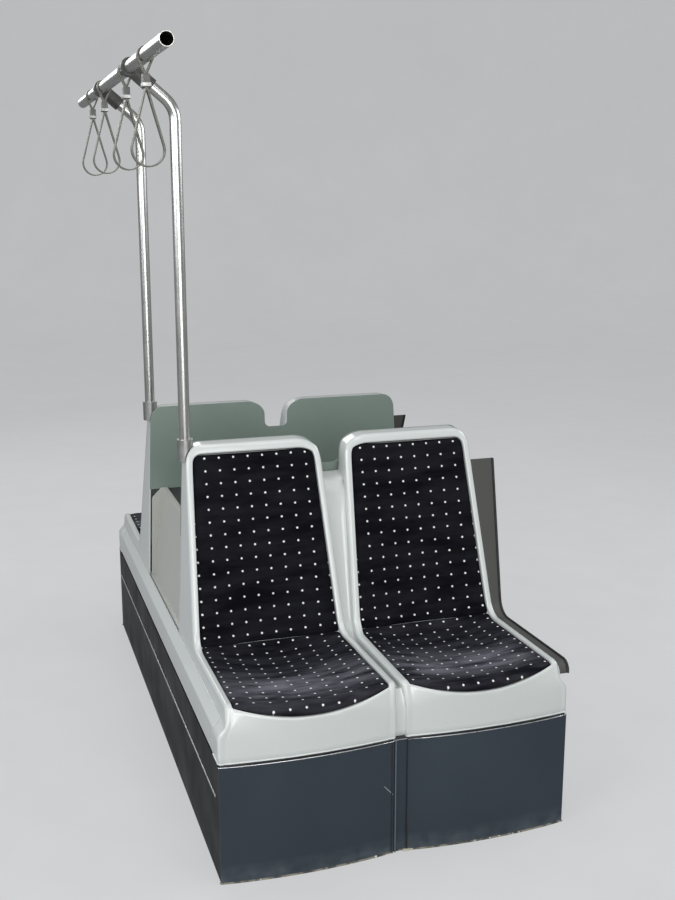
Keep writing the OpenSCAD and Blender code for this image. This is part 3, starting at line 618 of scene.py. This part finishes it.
CORNER_EDGE = 20 * MM  # edges shorter than this stand up at a pad's corners
CORNER_ROUND = 9 * MM
BORDER_FOLD = 0.9  # edges that fold more than this, in radians, are a pad's border
TOWARDS_SITTER = 0.25  # how far a face turns to the sitter before it is blown up
PRESSURE = 5.0
SEAT_SWELL = 9 * MM  # the most that pressure may move a point
BACK_SWELL = 3 * MM
LAST_FRAME = 20
LINE_STOPS = 160  # places along a pad's middle line
END_STOPS = 7  # those left out at each end, where a pad rolls over
MIDDLE_STRIP = 20 * MM  # points this near a pad's middle draw that line
FIRST_DOT = 40.5 * MM  # the first column of dots, from the unit's middle
TOP_ROW = 15.5 * MM  # the first row of dots, from a back pad's top edge
FRONT_ROW = 20 * MM  # the first row of dots, from a seat pad's front edge
RIDGE_MIDDLE = 0.165  # the ridge that sitting has pushed up, from a seat pad's front edge
RIDGE_WAVE = 0.15
RIDGE_REACH = 0.08
RIDGE_RISE = 5 * MM
WORN_AND_LIT_MIDDLE = 0.15  # the middle of the worn patch with painted sheen, from a seat pad's front edge
WORN_AND_LIT_REACH = 0.085
BACK_WEAR = 0.05


def cut_pad(node):
    """A pad in fine quads, which of its points face the sitter, and which the cloth run holds still."""
    bm = in_quads(node)
    upright = [
        e
        for e in bm.edges
        if all(len(v.link_edges) == 3 for v in e.verts) and e.calc_length() < CORNER_EDGE
    ]
    bmesh.ops.bevel(
        bm, geom=upright, affect="EDGES", offset=CORNER_ROUND, segments=2, profile=0.5, material=-1
    )
    bmesh.ops.subdivide_edges(bm, edges=bm.edges, cuts=2, use_grid_fill=True, smooth=0.6)
    bm.normal_update()
    folds = [e for e in bm.edges if len(e.link_faces) == 2 and e.calc_face_angle() > BORDER_FOLD]
    borders = {v for e in folds for v in e.verts}
    sitter = Vector((0, OUTWARDS[node.split("_")[0]], 1)).normalized()
    sat_on = {v for f in bm.faces if f.normal.dot(sitter) > TOWARDS_SITTER for v in f.verts}
    upper = np.array([v in sat_on for v in bm.verts])
    held = np.array([v in borders or v not in sat_on for v in bm.verts])
    return bm, upper, held


def blow_up(obj, held, most):
    """Cloth pressure on a pad whose held points stay, with each point's travel kept under most."""
    group = obj.vertex_groups.new(name="held")
    group.add([int(i) for i in np.nonzero(held)[0]], 1.0, "REPLACE")
    rest = coordinates(obj.data)
    cloth = obj.modifiers.new("cloth", "CLOTH")
    cloth.settings.vertex_group_mass = "held"
    cloth.settings.use_pressure = True
    cloth.settings.uniform_pressure_force = PRESSURE
    cloth.settings.tension_stiffness = 12
    cloth.settings.compression_stiffness = 12
    cloth.settings.bending_stiffness = 0.6
    cloth.settings.effector_weights.gravity = 0
    scene = bpy.context.scene
    for number in range(1, LAST_FRAME + 1):
        scene.frame_set(number)
    evaluated = obj.evaluated_get(bpy.context.evaluated_depsgraph_get())
    moved = coordinates(evaluated.to_mesh()) - rest
    evaluated.to_mesh_clear()
    obj.modifiers.remove(cloth)
    obj.vertex_groups.remove(group)
    scene.frame_set(1)
    reach = np.linalg.norm(moved, axis=1, keepdims=True)
    eased = most * np.tanh(reach / most)
    move_points(obj.data, rest + np.where(reach > 0, moved / np.maximum(reach, 1e-9), 0) * eased)


def side_view(points):
    """Distance to the rear and height of each point, with the rear pair turned round to match."""
    return np.stack([-np.abs(points[:, 1]), points[:, 2]], axis=1)


def middle_line(points, upper, is_back):
    """The line up a pad's middle in side view, from its lower or front end, with the distance travelled."""
    side = side_view(points[upper & (np.abs(points[:, 0] - points[:, 0].mean()) < MIDDLE_STRIP)])
    climb = side @ (np.array([0.5, 1.0]) if is_back else np.array([1.0, 0.5]))
    stops = np.linspace(climb.min(), climb.max(), LINE_STOPS)
    order = np.argsort(climb)
    line = np.stack([np.interp(stops, climb[order], side[order][:, k]) for k in (0, 1)], axis=1)
    steps = np.linalg.norm(np.diff(line, axis=0), axis=1)
    return line, np.concatenate([[0], np.cumsum(steps)])


def weave_place(points, upper, is_back):
    """Each point's place across and along the cloth, in metres from the middle of the first dot's cell."""
    line, travelled = middle_line(points, upper, is_back)
    length = travelled[-1]
    line, travelled = line[END_STOPS:-END_STOPS], travelled[END_STOPS:-END_STOPS]
    side = side_view(points)
    nearest = ((side[:, None, :] - line[None, :, :]) ** 2).sum(axis=2).argmin(axis=1)
    heading = np.gradient(line, axis=0)
    heading /= np.linalg.norm(heading, axis=1, keepdims=True)
    along = travelled[nearest] + ((side - line[nearest]) * heading[nearest]).sum(axis=1)
    along = length - along - TOP_ROW if is_back else along - FRONT_ROW
    across = np.abs(points[:, 0]) - FIRST_DOT
    return across + DOT_PITCH_ACROSS / 2, along + DOT_PITCH_ALONG / 2


def map_weave(mesh, across, along):
    layer = mesh.uv_layers.new(name="weave")
    corners = np.zeros(len(mesh.loops), np.int32)
    mesh.loops.foreach_get("vertex_index", corners)
    places = np.stack([across[corners], along[corners]], axis=1)
    layer.data.foreach_set("uv", places.astype(np.float32).ravel())


def push_ridge(mesh, free, from_front, off_middle):
    """Pushes a seat pad's free points up into a soft ridge with a hollow on each side."""
    past = from_front - RIDGE_MIDDLE
    wave = np.cos(2 * math.pi * past / RIDGE_WAVE) * np.exp(-((past / RIDGE_REACH) ** 2))
    points = coordinates(mesh)
    points[:, 2] += RIDGE_RISE * wave * np.where(free, np.clip(1 - off_middle**2, 0, 1), 0)
    move_points(mesh, points)


def seat_wear_and_sheen(from_front, off_middle):
    """How worn a seat pad is, with painted sheen: most in a patch across its middle where the seat is lit, least
    at its sides, which are left darker as painted shade.
    """
    patch = np.exp(-(((from_front - WORN_AND_LIT_MIDDLE) / WORN_AND_LIT_REACH) ** 2))
    return 0.1 + 0.9 * patch * (1 - 0.6 * np.clip(off_middle, 0, 1) ** 3)


def dress_pad(node):
    is_back = node.endswith("back_pad")
    bm, upper, held = cut_pad(node)
    obj = piece(node + "_cover", bm, "pad_fabric")
    blow_up(obj, held, BACK_SWELL if is_back else SEAT_SWELL)
    points = coordinates(obj.data)
    across, along = weave_place(points, upper, is_back)
    map_weave(obj.data, across, along)
    if is_back:
        wear_and_sheen = np.full(len(points), BACK_WEAR)
    else:
        from_front = along + FRONT_ROW - DOT_PITCH_ALONG / 2
        left, right = points[:, 0].min(), points[:, 0].max()
        off_middle = np.abs(points[:, 0] - (left + right) / 2) / ((right - left) / 2)
        push_ridge(obj.data, upper & ~held, from_front, off_middle)
        # real wear and painted sheen: lighter across the seat's middle, darker towards its sides
        wear_and_sheen = seat_wear_and_sheen(from_front, off_middle)
    set_attribute(obj.data, "wear_and_sheen", wear_and_sheen)
    subdivide(obj, 1)
    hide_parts(node)


# Hand straps

BAND_ROUND = 0.7 * MM
BAND_FOLD = 40  # degrees, between the facets of the band's bends and its corners
CRIMP_WIDER = 1.6 * MM  # than the buckle
CRIMP_HEIGHT = 8 * MM
CRIMP_WALL = 1 * MM


def crimp_buckle(body):
    """Metal sleeve, open above and below, round a buckle's lower end."""
    low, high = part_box(body + "_buckle")
    bm = bmesh.new()
    bmesh.ops.create_cube(bm, size=1.0)
    size = Vector((high.x - low.x + CRIMP_WIDER, high.y - low.y + CRIMP_WIDER, CRIMP_HEIGHT))
    bmesh.ops.scale(bm, vec=size, verts=bm.verts)
    middle = Vector(((low.x + high.x) / 2, (low.y + high.y) / 2, low.z + CRIMP_HEIGHT * 0.75))
    bmesh.ops.translate(bm, vec=middle, verts=bm.verts)
    open_ends = [f for f in bm.faces if abs(f.normal.z) > FACES_UP]
    bmesh.ops.delete(bm, geom=open_ends, context="FACES_ONLY")
    obj = piece(body + "_crimp", bm, "socket_metal", body)
    wall = obj.modifiers.new("wall", "SOLIDIFY")
    wall.thickness = CRIMP_WALL
    wall.offset = 1.0
    round_edges(obj, 0.5 * MM)


def dress_strap(body):
    node = body + "_band"
    band = piece(node + "_vinyl", with_whole_faces(node), "strap_vinyl", body)
    low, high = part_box(node)
    off_middle = np.abs(coordinates(band.data)[:, 1] - swings[body].y)
    set_attribute(band.data, "across", off_middle / ((high.y - low.y) / 2))
    round_edges(band, BAND_ROUND, angle=BAND_FOLD)
    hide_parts(node)
    rounded(body + "_buckle", body + "_buckle_shell", 1.6 * MM)
    crimp_buckle(body)


# Set screws in the clamps and sockets

SCREW_R = 3.2 * MM
SCREW_SUNK = 0.7 * SCREW_R  # a head's middle lies this far under the face that it is in
CLAMP_RING_R = 23 * MM
CLAMP_SLEEVE_R = 19.5 * MM
POLE_LEAN = math.radians(50)  # of a pole's upper leg, from upright
RING_SCREW_FACE = Vector((-0.94, 0, -0.34)).normalized()
RING_SCREWS = (-7 * MM, 7 * MM)  # along the rail, from the clamp's middle
SLEEVE_SCREWS = (34 * MM, 56 * MM)  # down the sleeve, from the rail's middle
SOCKET_SCREW_DOWN = 9 * MM


def set_screw(name, face_place, direction):
    """A hex socket screw sunk into a face, whose head looks along direction."""
    facing = Vector(direction)
    bm = bmesh.new()
    bmesh.ops.create_cone(
        bm, cap_ends=True, segments=24, radius1=SCREW_R, radius2=SCREW_R, depth=2 * SCREW_R
    )
    top = [f for f in bm.faces if f.normal.z > FACES_UP]
    bmesh.ops.inset_region(bm, faces=top, thickness=SCREW_R * 0.45)
    bmesh.ops.translate(bm, vec=(0, 0, -SCREW_R * 0.8), verts=top[0].verts)
    turn = facing.to_track_quat("Z", "Y").to_matrix().to_4x4()
    sunk = Matrix.Translation(face_place - facing * SCREW_SUNK)
    bmesh.ops.transform(bm, matrix=sunk @ turn, verts=bm.verts)
    round_edges(piece(name, bm, "socket_metal"), SCREW_R * 0.12, 2, 50)


def fasten_clamp(end):
    """Two set screws in a rail clamp's ring, and two in its sleeve."""
    low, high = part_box(f"{end}_rail_clamp")
    rail_low, rail_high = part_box("overhead_rail")
    rail = (rail_low + rail_high) / 2
    rail.y = (low.y + high.y) / 2
    for number, shift in enumerate(RING_SCREWS, 1):
        place = rail + RING_SCREW_FACE * CLAMP_RING_R + Vector((0, shift, 0))
        set_screw(f"{end}_clamp_screw_{number}", place, RING_SCREW_FACE)
    down_pole = Vector((math.sin(POLE_LEAN), 0, -math.cos(POLE_LEAN)))
    outwards = Vector((0, OUTWARDS[end], 0))
    for number, reach in enumerate(SLEEVE_SCREWS, 3):
        place = rail + down_pole * reach + outwards * CLAMP_SLEEVE_R
        set_screw(f"{end}_clamp_screw_{number}", place, outwards)


def fasten_socket(end):
    low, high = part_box(f"{end}_pole_socket")
    place = Vector((low.x, (low.y + high.y) / 2, high.z - SOCKET_SCREW_DOWN))
    set_screw(f"{end}_socket_screw", place, (-1, 0, 0))


# Edges of the plinth and the ledges

CAP_R = 1.3 * MM
SEALANT_R = 3.2 * MM
JOINT_SEAL_R = 1.6 * MM
JOINT_STRIP_R = 1.8 * MM
JOINT_STRIP_IN = 10 * MM  # from the flat band's aisle-side edge
BAND_EDGE_X = (5 * MM, 30 * MM)  # the flat band's edges stand between these, from the middle
BAND_DEPTH = 20 * MM
CRUMB_SHARE = 0.3  # of a foot's stretches, with a crumb of sealant
LUMPS = ((0, 7 * MM), (11 * MM, 5 * MM), (-7 * MM, 4 * MM))  # place along the joint's foot and size
LEDGE_IN = 20 * MM  # the ledge's edge, from the skirt's outer face
RIDGE_END = 4 * MM
TOE_END = 2 * MM


def band_edges(node):
    """The upright edges of the flat band between an end panel's two bows, aisle side first."""
    bm = merged(node)
    reach = max(abs(v.co.y) for v in bm.verts)
    lines = {}
    for edge in bm.edges:
        a, b = sorted((v.co for v in edge.verts), key=lambda place: place.z)
        tall = b.z - a.z > 0.9 * PANEL_TOP
        if tall and BAND_EDGE_X[0] < abs(a.x) < BAND_EDGE_X[1] and abs(a.y) > reach - BAND_DEPTH:
            keep = lines.setdefault(a.x > 0, (a.copy(), b.copy()))
            if abs(a.y) > abs(keep[0].y):
                lines[a.x > 0] = (a.copy(), b.copy())
    bm.free()
    return sorted([tuple(a), tuple(b)] for a, b in lines.values())


def crumble(name, chains, joint_foot):
    """Crumbs of old sealant along a foot, the same each run, with lumps where the joint meets it."""
    chance = np.random.default_rng(7)
    bm = bmesh.new()
    for chain in chains:
        for start, end in zip(chain[:-1], chain[1:]):
            if chance.random() > CRUMB_SHARE:
                continue
            place = Vector(start).lerp(Vector(end), chance.random())
            size = chance.uniform(1.6, 4.6) * MM
            stretch = Vector((chance.uniform(1.0, 2.0), 1.0, chance.uniform(0.5, 0.8))) * size
            raised = Matrix.Translation(place + Vector((0, 0, 0.4 * size)))
            matrix = raised @ Matrix.Diagonal((*stretch, 1))
            bmesh.ops.create_icosphere(bm, subdivisions=2, radius=1.0, matrix=matrix)
    for shift, size in LUMPS:
        raised = Matrix.Translation(Vector(joint_foot) + Vector((shift, 0, 1 * MM)))
        matrix = raised @ Matrix.Diagonal((1.7 * size, 0.8 * size, 0.5 * size, 1))
        bmesh.ops.create_icosphere(bm, subdivisions=3, radius=1.0, matrix=matrix)
    piece(name, bm, "seal_rubber", material=CRUMBS)


def edge_end_panel(end):
    """Bright cap on the end panel's top edge, a joint strip up its middle and sealant along the floor."""
    node = f"plinth_{end}_panel"
    foot = outer_edges(node, 0.0)
    aisle_edge, wall_edge = band_edges(node)
    strip = [(x + JOINT_STRIP_IN, y, z) for x, y, z in aisle_edge]
    bead(f"{end}_panel_cap", outer_edges(node, PANEL_TOP), CAP_R, "trim_metal")
    bead(f"{end}_floor_sealant", foot, SEALANT_R, "seal_rubber", SEALANT)
    crumble(f"{end}_sealant_crumbs", foot, wall_edge[0])
    bead(f"{end}_joint_seal", [aisle_edge, wall_edge], JOINT_SEAL_R, "seal_rubber")
    bead(f"{end}_joint_strip", [strip], JOINT_STRIP_R, "plinth_blue", JOINT_STRIP)


def edge_ledge(side):
    """Rounded ridge on the ledge's edge, a second one along the recessed panel's foot, and a dark bead between
    them as painted shadow in the gap.
    """
    skirt_low, skirt_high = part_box(f"{side}_skirt")
    panel_low, panel_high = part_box(f"{side}_infill")
    if side == "aisle":
        edge_x, foot_x = skirt_low.x + LEDGE_IN, panel_low.x
    else:
        edge_x, foot_x = skirt_high.x - LEDGE_IN, panel_high.x
    skirt_ends = (skirt_low.y + RIDGE_END, skirt_high.y - RIDGE_END)
    panel_ends = (panel_low.y + TOE_END, panel_high.y - TOE_END)
    # name, distance across, height over the ledge and radius in mm, slot, ends
    for name, x, rise, radius, slot, ends in (
        ("ledge_ridge", edge_x, -0.4, 1.9, "shell_grey", skirt_ends),
        ("foot_ridge", foot_x, 1.6, 1.7, "infill_grey", panel_ends),
        # painted shadow: a dark bead where the gap between the two ridges lies in shade
        ("ledge_shadow_line", (edge_x + foot_x) / 2, -0.3, 1.1, "seal_rubber", panel_ends),
    ):
        line = [(x, y, skirt_high.z + rise * MM) for y in ends]
        bead(f"{side}_{name}", [line], radius * MM, slot)


# Rigid pieces


def dress_rigid_parts():
    """Every rigid node with its edges rounded as such a piece's are, and the small things fixed to it."""
    for end in ENDS:
        edge_end_panel(end)
        fasten_clamp(end)
        fasten_socket(end)
        rounded(f"plinth_{end}_panel", f"plinth_{end}_laminate", 0.8 * MM)
        rounded(f"{end}_back_cover", f"{end}_back_cover_sheet", 0.9 * MM)
        rounded(f"{end}_rail_clamp", f"{end}_rail_clamp_casting", 1.4 * MM, 3)
        rounded(f"{end}_pole_socket", f"{end}_pole_socket_casting", 1.2 * MM, 3)
        rounded(f"{end}_pole", f"{end}_pole_tube", 0.5 * MM, material=POLE_STEEL)
    for side in SIDES:
        rounded(f"plinth_{side}_panel", f"plinth_{side}_laminate", 0.8 * MM)
        rounded(f"{side}_skirt", f"{side}_skirt_moulding", 3 * MM, 3)
        rounded(f"{side}_infill", f"{side}_infill_moulding", 1.5 * MM, 3)
        edge_ledge(side)
    rounded("plinth_trim", "plinth_trim_strip", 0.8 * MM, 3)
    rounded("overhead_rail", "overhead_rail_tube", 0.5 * MM, material=RAIL_STEEL)
    rounded("wall_filler", "wall_filler_strip", 0.8 * MM)
    rounded("wall_seal", "wall_seal_bead", 1.6 * MM, 3)
    for node in ("floor_frame", "frame_posts", "deck_frame", "deck_plate"):
        rounded(node, node + "_steel", 0.6 * MM)


# Stage and light

FLOOR_HALF = 9
SWEEP_R = 3
WALL_RISE = 8
BACKDROP_SHOWN = 0.66
FLOOR_IN_GLOSS = 0.24
SKY_LEVEL = 0.34
DAYLIGHT = (0.95, 0.98, 1.0)
LAMPS = (
    # name, place, what it is turned to, width and height, watts, colour
    ("left_windows", (-3.4, -1.8, 2.3), (0, 0, 0.6), (3.4, 1.4), 85, DAYLIGHT),
    ("right_windows", (3.2, -0.6, 2.4), (0, 0, 0.6), (3.0, 1.2), 50, DAYLIGHT),
    ("overhead", (0.2, -0.9, 3.4), (0, -0.3, 0.4), (0.4, 4.0), 18, (1.0, 0.99, 0.97)),
    ("ahead", (-0.6, -4.6, 1.5), (0, -0.5, 0.4), (2.8, 1.8), 86, (1.0, 1.0, 0.99)),
    ("behind", (-1.0, 3.8, 2.8), (0, 0.4, 0.8), (3.0, 1.2), 40, (1.0, 1.0, 1.0)),
)


def backdrop_share(tree, in_gloss, at_least=0.0):
    """How pale the backdrop is to the camera, how pale in metal and gloss, and how pale to all the rest."""
    paths = tree.nodes.new("ShaderNodeLightPath").outputs
    wanted = {
        "Is Camera Ray": BACKDROP_SHOWN,
        "Is Glossy Ray": in_gloss,
        "Is Transmission Ray": BACKDROP_SHOWN,
    }
    share = at_least
    for path, shown in wanted.items():
        share = maths(tree, "MAXIMUM", maths(tree, "MULTIPLY", paths[path], shown), share)
    return share


def make_stage():
    """Pale floor that sweeps up behind, with the shade that the unit throws on it."""
    bm = bmesh.new()
    bmesh.ops.create_grid(bm, x_segments=1, y_segments=1, size=FLOOR_HALF)
    far = [e for e in bm.edges if all(v.co.y > FLOOR_HALF - 1 for v in e.verts)]
    bmesh.ops.spin(
        bm,
        geom=far,
        cent=(0, FLOOR_HALF, SWEEP_R),
        axis=(1, 0, 0),
        angle=math.radians(90),
        steps=16,
        dvec=(0, 0, 0),
    )
    swept_up = [e for e in bm.edges if all(v.co.z > SWEEP_R - 0.1 for v in e.verts)]
    raised = bmesh.ops.extrude_edge_only(bm, edges=swept_up)
    top = [v for v in raised["geom"] if isinstance(v, bmesh.types.BMVert)]
    bmesh.ops.translate(bm, vec=(0, 0, WALL_RISE), verts=top)
    square_to_camera = Matrix.Rotation(math.radians(-TURN), 3, "Z")
    bmesh.ops.rotate(bm, cent=(0, 0, 0), matrix=square_to_camera, verts=bm.verts)
    finish = Finish("floor", Roughness=0.75, Specular_IOR_Level=0.2)
    mottled = finish.mix(finish.noise(1.5, 2), tone(208, 209, 210), tone(214, 215, 215))
    finish.to_shader("Base Color", finish.mix(finish.noise(6, 3), tone(118, 119, 121), tone(128, 129, 130)))
    finish.to_shader("Emission Color", mottled)
    finish.to_shader("Emission Strength", backdrop_share(finish.tree, FLOOR_IN_GLOSS))
    floor = smooth_mesh("floor", bm, finish.material)


def make_light():
    world = bpy.data.worlds.new("studio")
    world.use_nodes = True
    sky = world.node_tree.nodes["Background"]
    sky.inputs["Color"].default_value = (0.95, 0.97, 1.0, 1)
    level = backdrop_share(world.node_tree, SKY_LEVEL, SKY_LEVEL)
    world.node_tree.links.new(level, sky.inputs["Strength"])
    bpy.context.scene.world = world
    for name, place, target, size, watts, colour in LAMPS:
        data = bpy.data.lights.new(name, "AREA")
        data.shape = "RECTANGLE"
        data.size, data.size_y = size
        data.energy = watts
        data.color = colour
        lamp = bpy.data.objects.new(name, data)
        lamp.location = place
        lamp.rotation_euler = (Vector(target) - Vector(place)).to_track_quat("-Z", "Y").to_euler()
        bpy.context.scene.collection.objects.link(lamp)


make_camera()
make_light()
make_stage()
for end in ENDS:
    dress_shell(end)
for end in ENDS:
    for side in SIDES:
        for kind in ("seat", "back"):
            dress_pad(f"{end}_{side}_{kind}_pad")
for strap in swings:
    dress_strap(strap)
dress_rigid_parts()

bpy.context.scene.view_settings.view_transform = "Standard"
